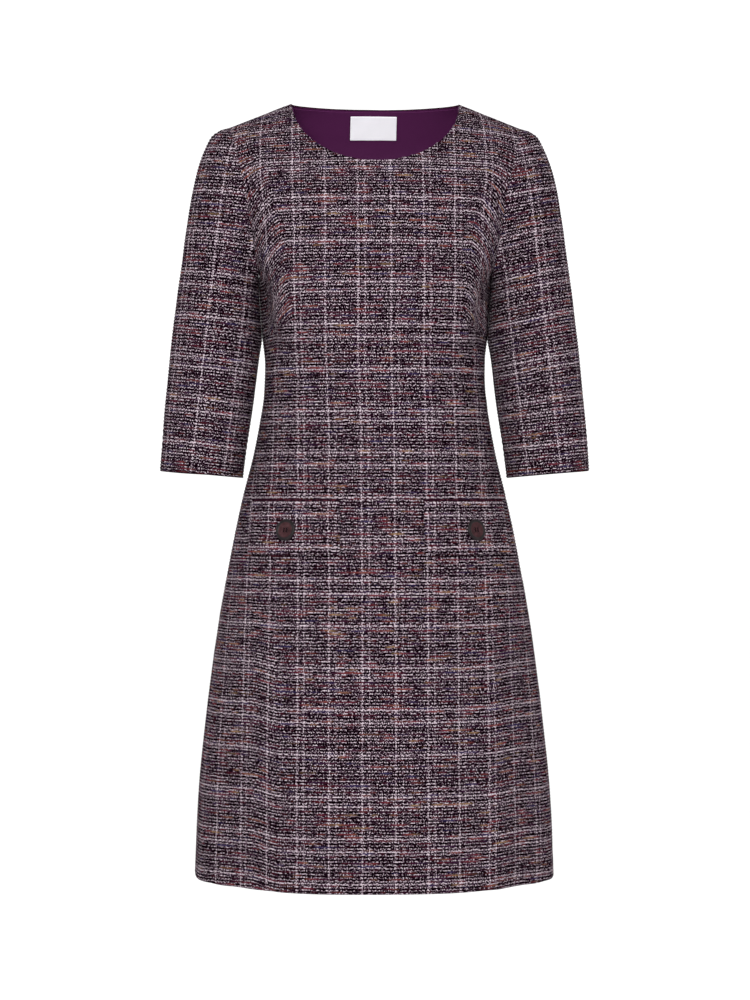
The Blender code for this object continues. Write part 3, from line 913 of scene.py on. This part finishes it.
def paint_edge_shade(panel, side):
    """Paint shade in dark yarn on the faces under the hem fold and on the back neck edge, and give the
    turned-up hem tweed.
    """
    for face in panel.data.polygons:
        near, z = abs(face.center.x), face.center.z
        if face.normal.z < FACES_DOWN and z < HEM_Z + HEM_DEPTH:
            face.material_index = PAINTED_SHADE
        elif z < HEM_Z + HEM_ALLOWANCE:
            face.material_index = OUTSIDE
        elif side == "back" and z > top_edge(side, near) - SHADE_EDGE_WIDTH and near < NECK_HALF_WIDTH + NECK_END_EASE:
            face.material_index = PAINTED_SHADE


def build_panel(side, cloths):
    node = side + "_panel"
    rows = []
    flat = []
    for number, row in enumerate(panel_places(side)):
        line = []
        for sign, share, across, z in both_halves(row):
            x = body_point(side, across, z).x
            down = cloth_down(side, across, z)
            lowered = 0.0
            if side == "front":
                lowered = droop(x, z, above_dart(x, z))
                down += sag(sign, x, z)
            # The ribs fade towards the armhole and where the lining lies behind them.
            ribbed = 1.0 if number > ARMHOLE_ROWS else 1 - share ** 2
            if side == "back":
                ribbed *= smooth_step((LINING_BOTTOM - z) / RIB_FADE)
            point = form_point(side, across, z, sign, rib_height(down - lowered) * ribbed)
            if across == 0:
                point.x = 0.0
            line.append(point)
            flat.append((sign, x, z, cloth_across(side, across, z), down))
        rows.append(line)
    mesh = grid_mesh(node + "_look", rows)

    def place_of(vertex, face):
        sign, x, z, along, down = flat[vertex]
        turned = 0.0
        if side == "front":
            down -= droop(x, z, above_dart(abs(face.center.x), face.center.z))
            turned = PATTERN_TURN * smooth_step((z - TURN_FROM) / (TURN_TO - TURN_FROM))
        return along * sign + turned, down

    lay_out(mesh, place_of)
    face_along(mesh, Vector((0, FACING[side], 0)))
    panel = new_object(node + "_look", mesh, *cloths)
    make_wall(panel, CLOTH)
    close_seams(panel, side)
    paint_edge_shade(panel, side)
    return seat(panel, node)


# ---- sleeves

SLEEVE_ROWS = 290
SLEEVE_TURNS = 96
# Creases round a sleeve: how far down it, at which turn from its top line in degrees, how deep,
# how long in degrees, how wide, and how far each tilts in CREASE_SPAN degrees.
CREASE_SPAN = 40
Crease = namedtuple("Crease", "down turn depth length width tilt")
CREASES = {
    1: table(
        Crease,
        (0.205, 100, -0.0022, 38, 0.01, -0.02),
        (0.235, 75, 0.0016, 45, 0.012, 0.014),
        (0.262, 118, -0.002, 34, 0.009, 0.016),
        (0.3, 60, -0.0012, 40, 0.014, -0.02),
        (0.15, 140, -0.002, 30, 0.01, -0.018),
        (0.11, 55, 0.0014, 40, 0.018, 0.02),
        (0.22, -100, -0.0024, 40, 0.01, 0.018),
        (0.255, -80, 0.0018, 44, 0.012, -0.012),
        (0.285, -125, -0.0018, 36, 0.011, 0.014),
    ),
    -1: table(
        Crease,
        (0.195, 92, -0.002, 42, 0.011, 0.018),
        (0.228, 112, 0.0018, 36, 0.01, -0.016),
        (0.25, 70, -0.0018, 40, 0.012, 0.016),
        (0.29, 105, -0.0014, 38, 0.013, 0.02),
        (0.14, 136, -0.0022, 30, 0.01, 0.018),
        (0.12, 60, 0.0012, 44, 0.017, -0.02),
        (0.21, -95, -0.0022, 42, 0.011, -0.016),
        (0.248, -110, 0.0018, 38, 0.011, 0.014),
        (0.292, -75, -0.0016, 40, 0.012, -0.016),
    ),
}

# The grain of a sleeve, which runs straight down from its elbow.
SHOULDER_POINT = Vector((SHOULDER_TIP[0], 0, SHOULDER_TIP[1]))
ELBOW = Vector((0.192, 0, -0.302))
DOWN_SLEEVE = Vector((0.1139, 0, -0.9935))
ACROSS_SLEEVE = Vector((0.9935, 0, 0.1139))
SLEEVE_MIDDLE = Vector((0.205, 0, -0.25))
SLEEVE_TOP_LINE = Vector((0.068, 0, -0.998)).normalized()
SLEEVE_HALF_WIDTH = 0.052
SLEEVE_DEPTH = {-1: 0.052, 1: 0.052 * 0.9}  # of its front and its back
SLEEVE_ROUND = 0.049  # cloth to one radian of turn
CAP_ROWS = 24  # over which ribs and creases grow out of the armhole
CUFF_ROWS = 15  # over which the creases get lower towards the cuff
CUFF_FOLDS = 0.3  # share of them that is left there
CUFF = namedtuple("Cuff", "z x rise")(-0.4505, 0.21, 0.1)

SLEEVE_STRIPE = -0.0137  # where its stripes start, from its front

# How far the ribs of a sleeve tilt towards the body, and how much less they do below the elbow.
LEVEL_FROM = -0.03
LEVEL_OVER = 0.16
SleeveLook = namedtuple("SleeveLook", "tilt level")
SLEEVE_LOOKS = {1: SleeveLook(0.1, 0.12), -1: SleeveLook(0.0, 0.0)}


def sleeve_curve(name):
    """One column of the sleeve's table as a curve over its rows."""
    curve = smooth_curve([(index, getattr(row, name)) for index, row in enumerate(SLEEVE)])
    return tabled(curve, 0, len(SLEEVE) - 1, 480)


SLEEVE_CURVES = {name: sleeve_curve(name) for name in SleeveRow._fields}


def armhole_ring():
    """The armhole as (turn, point) pairs: turn is 0 on top, up to pi down the front, below 0 behind."""
    ring = []
    for step in range(SLEEVE_TURNS):
        turn = 2 * math.pi * step / SLEEVE_TURNS
        side = "front" if turn <= math.pi else "back"
        across, z = armhole_edge(turn if side == "front" else 2 * math.pi - turn)
        ring.append((turn if side == "front" else turn - 2 * math.pi, body_point(side, across, z)))
    return ring


def grain(point, look):
    """Where a point of the sleeve lies in the flat cloth: turn round from its front, and down."""
    away = point - ELBOW
    inward = -away.dot(ACROSS_SLEEVE)
    depth = SLEEVE_DEPTH[-1 if away.y < 0 else 1]
    turn = math.atan2(inward / SLEEVE_HALF_WIDTH, -away.y / depth)
    below_elbow = away.dot(DOWN_SLEEVE)
    tilt = look.tilt - look.level * smooth_step((below_elbow - LEVEL_FROM) / LEVEL_OVER)
    return turn, below_elbow - tilt * inward + BAND_START


def sleeve_relief(sign, down, turn):
    height = 0.0
    for crease in CREASES[sign]:
        off_turn = (math.degrees(turn) - crease.turn + 180) % 360 - 180
        off = (down - crease.down) - crease.tilt * off_turn / CREASE_SPAN
        height += crease.depth * math.exp(-((off_turn / crease.length) ** 2) - (off / crease.width) ** 2)
    place = Vector((math.cos(turn) * 2.2, math.sin(turn) * 2.2, down * 22 + 7 * sign))
    return height + 0.0006 * noise.noise(place)


def sleeve_rings(armhole):
    """Rings of the plain sleeve, from the edge of the armhole to the cuff."""
    bottom = Vector((armhole_x(UNDERARM_Z), 0, UNDERARM_Z))
    drop = SHOULDER_POINT - bottom
    outwards = Vector((drop.z, 0, -drop.x)).normalized()
    rings = [[point - outwards * ARMHOLE_LAP for _, point in armhole]]
    for step in range(SLEEVE_ROWS + 1):
        at = (len(SLEEVE) - 1) * step / SLEEVE_ROWS
        row = SleeveRow(*(SLEEVE_CURVES[field](at) for field in SleeveRow._fields))
        outer = Vector((row.outer_x, 0, row.outer_z))
        inner = Vector((row.inner_x, 0, row.inner_z))
        ring = []
        for turn, point in armhole:
            depth = row.front if turn > 0 else row.back
            oval = (outer + inner) / 2 + (outer - inner) / 2 * math.cos(turn)
            oval.y = -math.sin(turn) * depth
            # The first rings still follow the armhole.
            share = (point - bottom).dot(drop) / drop.length_squared
            kept = inner + (outer - inner) * share + (point - (bottom + drop * share))
            ring.append(oval.lerp(kept, row.armhole))
        rings.append(ring)
    return rings


def crease_sleeve(mesh, flat, armhole, sign):
    """Raise a sleeve's ribs and creases along its normals."""
    normals = [Vector(normal.vector) for normal in mesh.vertex_normals]
    for index, vertex in enumerate(mesh.vertices):
        ring = index // len(armhole)
        turn = armhole[index % len(armhole)][0]
        down = (vertex.co - SHOULDER_POINT).dot(SLEEVE_TOP_LINE)
        grown = min(ring / CAP_ROWS, 1.0)
        calm = grown * min((SLEEVE_ROWS + 1 - ring) / CUFF_ROWS + CUFF_FOLDS, 1.0)
        ribs = rib_height(grain(flat[index], SLEEVE_LOOKS[sign])[1]) * grown
        vertex.co += normals[index] * (sleeve_relief(sign, down, turn) * calm + ribs)


def build_sleeve(node, sign, cloths):
    """A sleeve, built as the left one and mirrored where the sign is below 0."""
    armhole = armhole_ring()
    mesh = grid_mesh(node + "_look", sleeve_rings(armhole), closed=True)
    outward = [(face.center - SLEEVE_MIDDLE).dot(face.normal) > 0 for face in mesh.polygons]
    if sum(outward) < len(outward) / 2:
        mesh.flip_normals()
    flat = [vertex.co.copy() for vertex in mesh.vertices]
    crease_sleeve(mesh, flat, armhole, sign)
    look = SLEEVE_LOOKS[sign]

    def place_of(vertex, face):
        turn, down = grain(flat[vertex], look)
        if face.center.y > 0 and turn > math.pi / 3:
            turn -= 2 * math.pi
        return -sign * (REPEAT_ACROSS / 4 + SLEEVE_ROUND * turn - SLEEVE_STRIPE), down

    lay_out(mesh, place_of)
    if sign < 0:
        mesh.transform(Matrix.Scale(-1, 4, Vector((1, 0, 0))))
        mesh.flip_normals()
    sleeve = new_object(node + "_look", mesh, *cloths)
    make_wall(sleeve, CLOTH)
    # Painted shade: faces turned down under the cuff take the dark edge material; the turned-up cuff is
    # tweed.
    for face in sleeve.data.polygons:
        cuff = CUFF.z + CUFF.rise * (abs(face.center.x) - CUFF.x)
        if face.normal.z < FACES_DOWN and face.center.z < cuff + 2 * HEM_DEPTH:
            face.material_index = PAINTED_SHADE
        elif face.center.z < cuff + CUFF_ALLOWANCE:
            face.material_index = OUTSIDE
    return seat(sleeve, node)


# ---- flaps

FLAP_COLUMNS = 84
FLAP_ROWS = 44
FLAP_CORNER = 0.0022  # how far its lower corners are rounded up
CORNER_ACROSS = 0.05  # the corners' share of it
CORNER_DOWN = 0.1
FLAP_WAVE = 0.0006  # of its lower edge
FLAP_EDGE = 0.006  # width over which it gets thinner towards its edges
FLAP_FULLNESS = 0.0007
FLAP_WALL = FLAP_THICKNESS - 0.0006
FLAP_ROUND = 0.0009  # of its edges
FLAP_LIFT = LAY_GAP + 0.0003  # off the front
FLAP_STAND = 0.003  # how much further off its lower edge is
FLAP_CUT = 0.0607  # how much higher in the cloth it was cut than it lies
FLAP_INNER_SHADE = 0.016  # how far down its inner edge is painted dark, as shade


def across_at_length(side, length, z):
    """The place across a panel that lies a length of cloth from the middle."""
    low, high = 0.0, 1.0
    for _ in range(24):
        middle = (low + high) / 2
        if cloth_across(side, middle, z) < length:
            low = middle
        else:
            high = middle
    return (low + high) / 2


def flap_point(sign, share, down_share):
    """A point of a flap, and its place in the flat cloth."""
    z = FLAP_TOP + (FLAP_BOTTOM - FLAP_TOP) * down_share
    length = FLAP_INNER + (FLAP_OUTER - FLAP_INNER) * share
    corner = max(0.0, abs(share - 0.5) * 2 - (1 - CORNER_ACROSS)) / CORNER_ACROSS
    z += FLAP_CORNER * corner ** 2 * max(0.0, down_share - (1 - CORNER_DOWN)) / CORNER_DOWN
    z += FLAP_WAVE * math.sin(share * 9.0 + sign) * down_share
    across = across_at_length("front", length + sign * FLAP_SHIFT, z)
    edge = min(share, 1 - share) * (FLAP_OUTER - FLAP_INNER)
    edge = min(edge, (1 - down_share) * (FLAP_TOP - FLAP_BOTTOM))
    full = 1 - math.exp(-((edge / FLAP_EDGE) ** 2))
    lift = FLAP_LIFT + FLAP_STAND * down_share ** 1.5 + FLAP_FULLNESS * full
    return form_point("front", across, z, sign, lift), (length * sign + FLAP_SHIFT, -z - FLAP_CUT)


def build_flap(node, sign, tweed, shade_cloth):
    """Pocket flap: two layers pressed along their edges, so the middle stands a little fuller."""
    cells = rows_of(FLAP_ROWS, FLAP_COLUMNS, lambda share, down: flap_point(sign, share, down))
    flat = [place for row in cells for _, place in row]
    mesh = grid_mesh(node + "_look", [[point for point, _ in row] for row in cells])
    lay_out(mesh, lambda vertex, face: flat[vertex])
    face_along(mesh, Vector((0, -1, 0)))
    flap = new_object(node + "_look", mesh, tweed, shade_cloth)
    make_wall(flap, FLAP_WALL, side=1, edge=FLAP_ROUND, lined=False)
    inner_across = across_at_length("front", FLAP_INNER + sign * FLAP_SHIFT, FLAP_TOP)
    inner_x = body_point("front", inner_across, FLAP_TOP).x
    # Painted shade: the top and bottom edges of the flap and the top of its inner edge take the dark edge
    # material.
    for face in flap.data.polygons:
        x, z = face.center.x, face.center.z
        inner_shade = abs(x - inner_x * sign) < SHADE_EDGE_WIDTH / 2 and z > FLAP_TOP - FLAP_INNER_SHADE
        if inner_shade or not FLAP_BOTTOM + SHADE_EDGE_WIDTH < z < FLAP_TOP - SHADE_EDGE_WIDTH:
            face.material_index = 1
    return seat(flap, node)


# ---- buttons

# Half an outline, from the middle of the dish over the rim to the middle of the back, in shares.
ButtonRow = namedtuple("ButtonRow", "radius height")
BUTTON_OUTLINE = table(
    ButtonRow,
    (0.0, 0.6),
    (0.45, 0.6),
    (0.58, 0.62),
    (0.66, 0.68),
    (0.72, 0.8),
    (0.78, 0.93),
    (0.84, 0.99),
    (0.9, 0.98),
    (0.96, 0.86),
    (0.99, 0.7),
    (1.0, 0.52),
    (0.99, 0.34),
    (0.94, 0.16),
    (0.84, 0.04),
    (0.7, 0.0),
    (0.0, 0.0),
)
BUTTON_STAND = 0.0021  # over the flap where it hangs flat
THREAD_RADIUS = 0.00042
THREAD_WIDTH = 1.5  # its two plies lie side by side
THREAD_REACH = BUTTON_HOLE_OFFSET + BUTTON_HOLE_RADIUS * 0.35
THREAD_BASE = BUTTON_THICKNESS * 0.46
THREAD_RISE = BUTTON_THICKNESS * 0.24
THREAD_STEPS = 14
THREAD_SIDES = 8


def turned_button(name, dish, rim):
    form = bmesh.new()
    places = [(row.radius * BUTTON_RADIUS, 0, row.height * BUTTON_THICKNESS) for row in BUTTON_OUTLINE]
    chain = [form.verts.new(place) for place in places]
    for upper, lower in zip(chain, chain[1:]):
        form.edges.new((upper, lower))
    button = new_object(name, form_mesh(name, form), dish, rim)
    modify(button, "SCREW", axis="Z", steps=72, render_steps=72, use_merge_vertices=True,
           merge_threshold=0.00001, use_normal_calculate=True)
    return button


def drill(button, angle):
    """Cut a thread hole at an angle round the middle, and return its cutter."""
    offset = BUTTON_HOLE_OFFSET * math.sqrt(2)
    form = bmesh.new()
    bmesh.ops.create_cone(form, cap_ends=True, segments=20, radius1=BUTTON_HOLE_RADIUS,
                          radius2=BUTTON_HOLE_RADIUS, depth=BUTTON_THICKNESS * 4)
    bmesh.ops.translate(form, verts=form.verts,
                        vec=(offset * math.cos(angle), offset * math.sin(angle), BUTTON_THICKNESS / 2))
    hole = new_object("hole", form_mesh("hole", form))
    modify(button, "BOOLEAN", object=hole, operation="DIFFERENCE", solver="EXACT")
    return hole


def button_seat(sign):
    """Place and direction of a button on its flap, as a matrix."""
    across = across_at_length("front", BUTTON_ACROSS + sign * FLAP_SHIFT, BUTTON_Z)
    outwards = body_normal("front", across, BUTTON_Z)
    seated = body_point("front", across, BUTTON_Z)
    seated += outwards * (LAY_GAP + FLAP_THICKNESS + LAY_GAP + BUTTON_STAND)
    seated.x *= sign
    outwards.x *= sign
    return Matrix.Translation(seated) @ outwards.to_track_quat("Z", "Y").to_matrix().to_4x4()


def thread_mesh(name):
    """Two stitches of thread, one down each pair of holes."""
    form = bmesh.new()
    sideways = Vector((1, 0, 0))
    for side in (-1, 1):
        rings = []
        for step in range(THREAD_STEPS + 1):
            angle = math.pi * step / THREAD_STEPS
            height = THREAD_BASE + math.sin(angle) * THREAD_RISE
            centre = Vector((side * BUTTON_HOLE_OFFSET, math.cos(angle) * THREAD_REACH, height))
            forward = Vector((0, -math.sin(angle) * THREAD_REACH, math.cos(angle) * THREAD_RISE))
            upwards = forward.normalized().cross(sideways).normalized()
            turns = [2 * math.pi * turn / THREAD_SIDES for turn in range(THREAD_SIDES)]
            outs = [sideways * math.cos(turn) * THREAD_WIDTH + upwards * math.sin(turn) for turn in turns]
            rings.append([form.verts.new(centre + out * THREAD_RADIUS) for out in outs])
        for a, b in zip(rings, rings[1:]):
            for turn in range(THREAD_SIDES):
                after = (turn + 1) % THREAD_SIDES
                form.faces.new((a[turn], a[after], b[after], b[turn]))
        form.faces.new(rings[0][::-1])
        form.faces.new(rings[-1])
    bmesh.ops.recalc_face_normals(form, faces=form.faces)
    return form_mesh(name, form)


def build_button(node, sign, dish, rim, thread):
    button = turned_button(node + "_look", dish, rim)
    cutters = [drill(button, math.pi / 4 + index * math.pi / 2) for index in range(4)]
    round_edges(button, 0.00018, 50)
    apply_modifiers(button, 35)
    for hole in cutters:
        bpy.data.objects.remove(hole, do_unlink=True)
    for face in button.data.polygons:
        if math.hypot(face.center.x, face.center.y) > DISH_RADIUS:
            face.material_index = 1
    matrix = button_seat(sign)
    button.data.transform(matrix)
    stitches = new_object(node + "_thread", thread_mesh(node + "_thread"), thread)
    stitches.data.transform(matrix)
    stitches.data.shade_smooth()
    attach(stitches, "root")
    return seat(button, node)


# ---- lining and label

LINING_FIRST_ROW = 5  # it starts below the neck edge
LINING_SHORT = 2  # columns by which it ends before the seams
LINING_WAVE = 0.00025
LABEL_COLUMNS = 40
LABEL_ROWS = 22
LABEL_CURL = 0.0006  # of its ends, off the lining
LABEL_WAVE = 0.0003


def inside_back(across, z, sign, depth):
    """Point on the inner side of the back, or deeper inside."""
    point = form_point("back", across, z, sign)
    normal = body_normal("back", across, z)
    normal.x *= sign
    return point - normal * (CLOTH + depth)


def inner_piece(node, rows, material, thickness, edge):
    mesh = grid_mesh(node + "_look", rows)
    face_along(mesh, Vector((0, -1, 0)))
    piece = new_object(node + "_look", mesh, material)
    make_wall(piece, thickness, side=1, edge=edge, lined=False)
    return seat(piece, node)


def build_lining(lining):
    rows = []
    for row in panel_places("back")[LINING_FIRST_ROW:]:
        if row[0][1] < LINING_BOTTOM:
            continue
        line = []
        for sign, _, across, z in both_halves(row[:-LINING_SHORT]):
            wave = LINING_WAVE * noise.noise(Vector((sign * across * 14, z * 60, 2.0)))
            point = inside_back(across, z, sign, LAY_GAP + wave)
            if across == 0:
                point.x = 0.0
            line.append(point)
        rows.append(line)
    return inner_piece("back_neck_lining", rows, lining, LINING, 0.0003)


def label_point(share, down_share):
    z = LABEL_TOP + (LABEL_BOTTOM - LABEL_TOP) * down_share
    length = LABEL_WIDTH * (share - 0.5)
    across = across_at_length("back", abs(length), z)
    lift = LABEL_CURL * abs(share * 2 - 1) ** 6
    lift += LABEL_WAVE * noise.noise(Vector((length * 60, z * 60, 4.0)))
    depth = LAY_GAP + LINING + LABEL_GAP + max(lift, -LABEL_WAVE)
    return inside_back(across, z, 1 if length >= 0 else -1, depth)


def build_label(label_cloth):
    rows = rows_of(LABEL_ROWS, LABEL_COLUMNS, label_point)
    return inner_piece("neck_label", rows, label_cloth, LABEL_THICKNESS, 0.00025)


# ---- camera, light and floor

EYE_DISTANCE = 4.0
EYE_HEIGHT = -0.4828
EYE_TURN = math.radians(-2.0)
LENS = 118.03
SKY_LIGHT = 1.12
FLOOR_Z = -1.32
LAMP_AIM = Vector((0, 0, -0.45))
Lamp = namedtuple("Lamp", "name place power size")
LAMPS = [
    Lamp("key", (-0.3, -2.2, 0.15), 40.0, 0.7),
    Lamp("fill", (1.6, -2.2, 0.0), 9.0, 1.8),
    Lamp("back", (0.2, 2.6, 0.8), 16.0, 2.0),
]


def build_camera():
    camera = bpy.data.cameras.new("camera")
    camera.lens = LENS
    camera.sensor_width = 36.0
    camera.clip_end = 60.0
    eye = new_object("camera", camera)
    eye.location = (EYE_DISTANCE * math.sin(EYE_TURN), -EYE_DISTANCE * math.cos(EYE_TURN), EYE_HEIGHT)
    eye.rotation_euler = (math.pi / 2, 0.0, EYE_TURN)
    bpy.context.scene.camera = eye


def build_light():
    world = bpy.data.worlds.new("studio")
    world.use_nodes = True
    sky = world.node_tree.nodes["Background"]
    sky.inputs[0].default_value = (1.0, 1.0, 1.0, 1.0)
    sky.inputs[1].default_value = SKY_LIGHT
    bpy.context.scene.world = world
    bpy.context.scene.view_settings.view_transform = "Standard"
    for lamp in LAMPS:
        light = bpy.data.lights.new(lamp.name, "AREA")
        light.energy = lamp.power
        light.size = lamp.size
        thing = new_object(lamp.name, light)
        thing.location = lamp.place
        thing.rotation_euler = (LAMP_AIM - Vector(lamp.place)).to_track_quat("-Z", "Y").to_euler()


def build_floor():
    form = bmesh.new()
    bmesh.ops.create_grid(form, x_segments=1, y_segments=1, size=30.0)
    paint = Nodes("pale_floor")
    speckle = paint.noise(paint.place(), 2.0, 0.5, 8.0)
    colour = paint.mix(speckle, (0.9, 0.9, 0.9), (0.92, 0.92, 0.92))
    floor = new_object("floor", form_mesh("floor", form), paint.finish(Base_Color=colour, Roughness=0.9))
    floor.location = (0, 0, FLOOR_Z)


build_camera()
build_floor()
build_light()
TWEED = tweed_material()
PLUM = lining_material()
SATIN = label_material()
HORN = button_material("horn_dish_look", HORN_COLOURS, 0.06)
RIM = button_material("horn_rim_look", RIM_COLOURS, 0.14)
SHADE_EDGE = shade_edge_material()
THREAD = thread_material()

front = build_panel("front", (TWEED, PLUM, SHADE_EDGE))
back = build_panel("back", (TWEED, PLUM, SHADE_EDGE))
for hand, sign in (("left", 1), ("right", -1)):
    build_sleeve("sleeve_" + hand, sign, (TWEED, PLUM, SHADE_EDGE))
    flap = build_flap("pocket_flap_" + hand, sign, TWEED, SHADE_EDGE)
    build_button("button_" + hand, sign, HORN, RIM, THREAD)
lining_piece = build_lining(PLUM)
label_piece = build_label(SATIN)
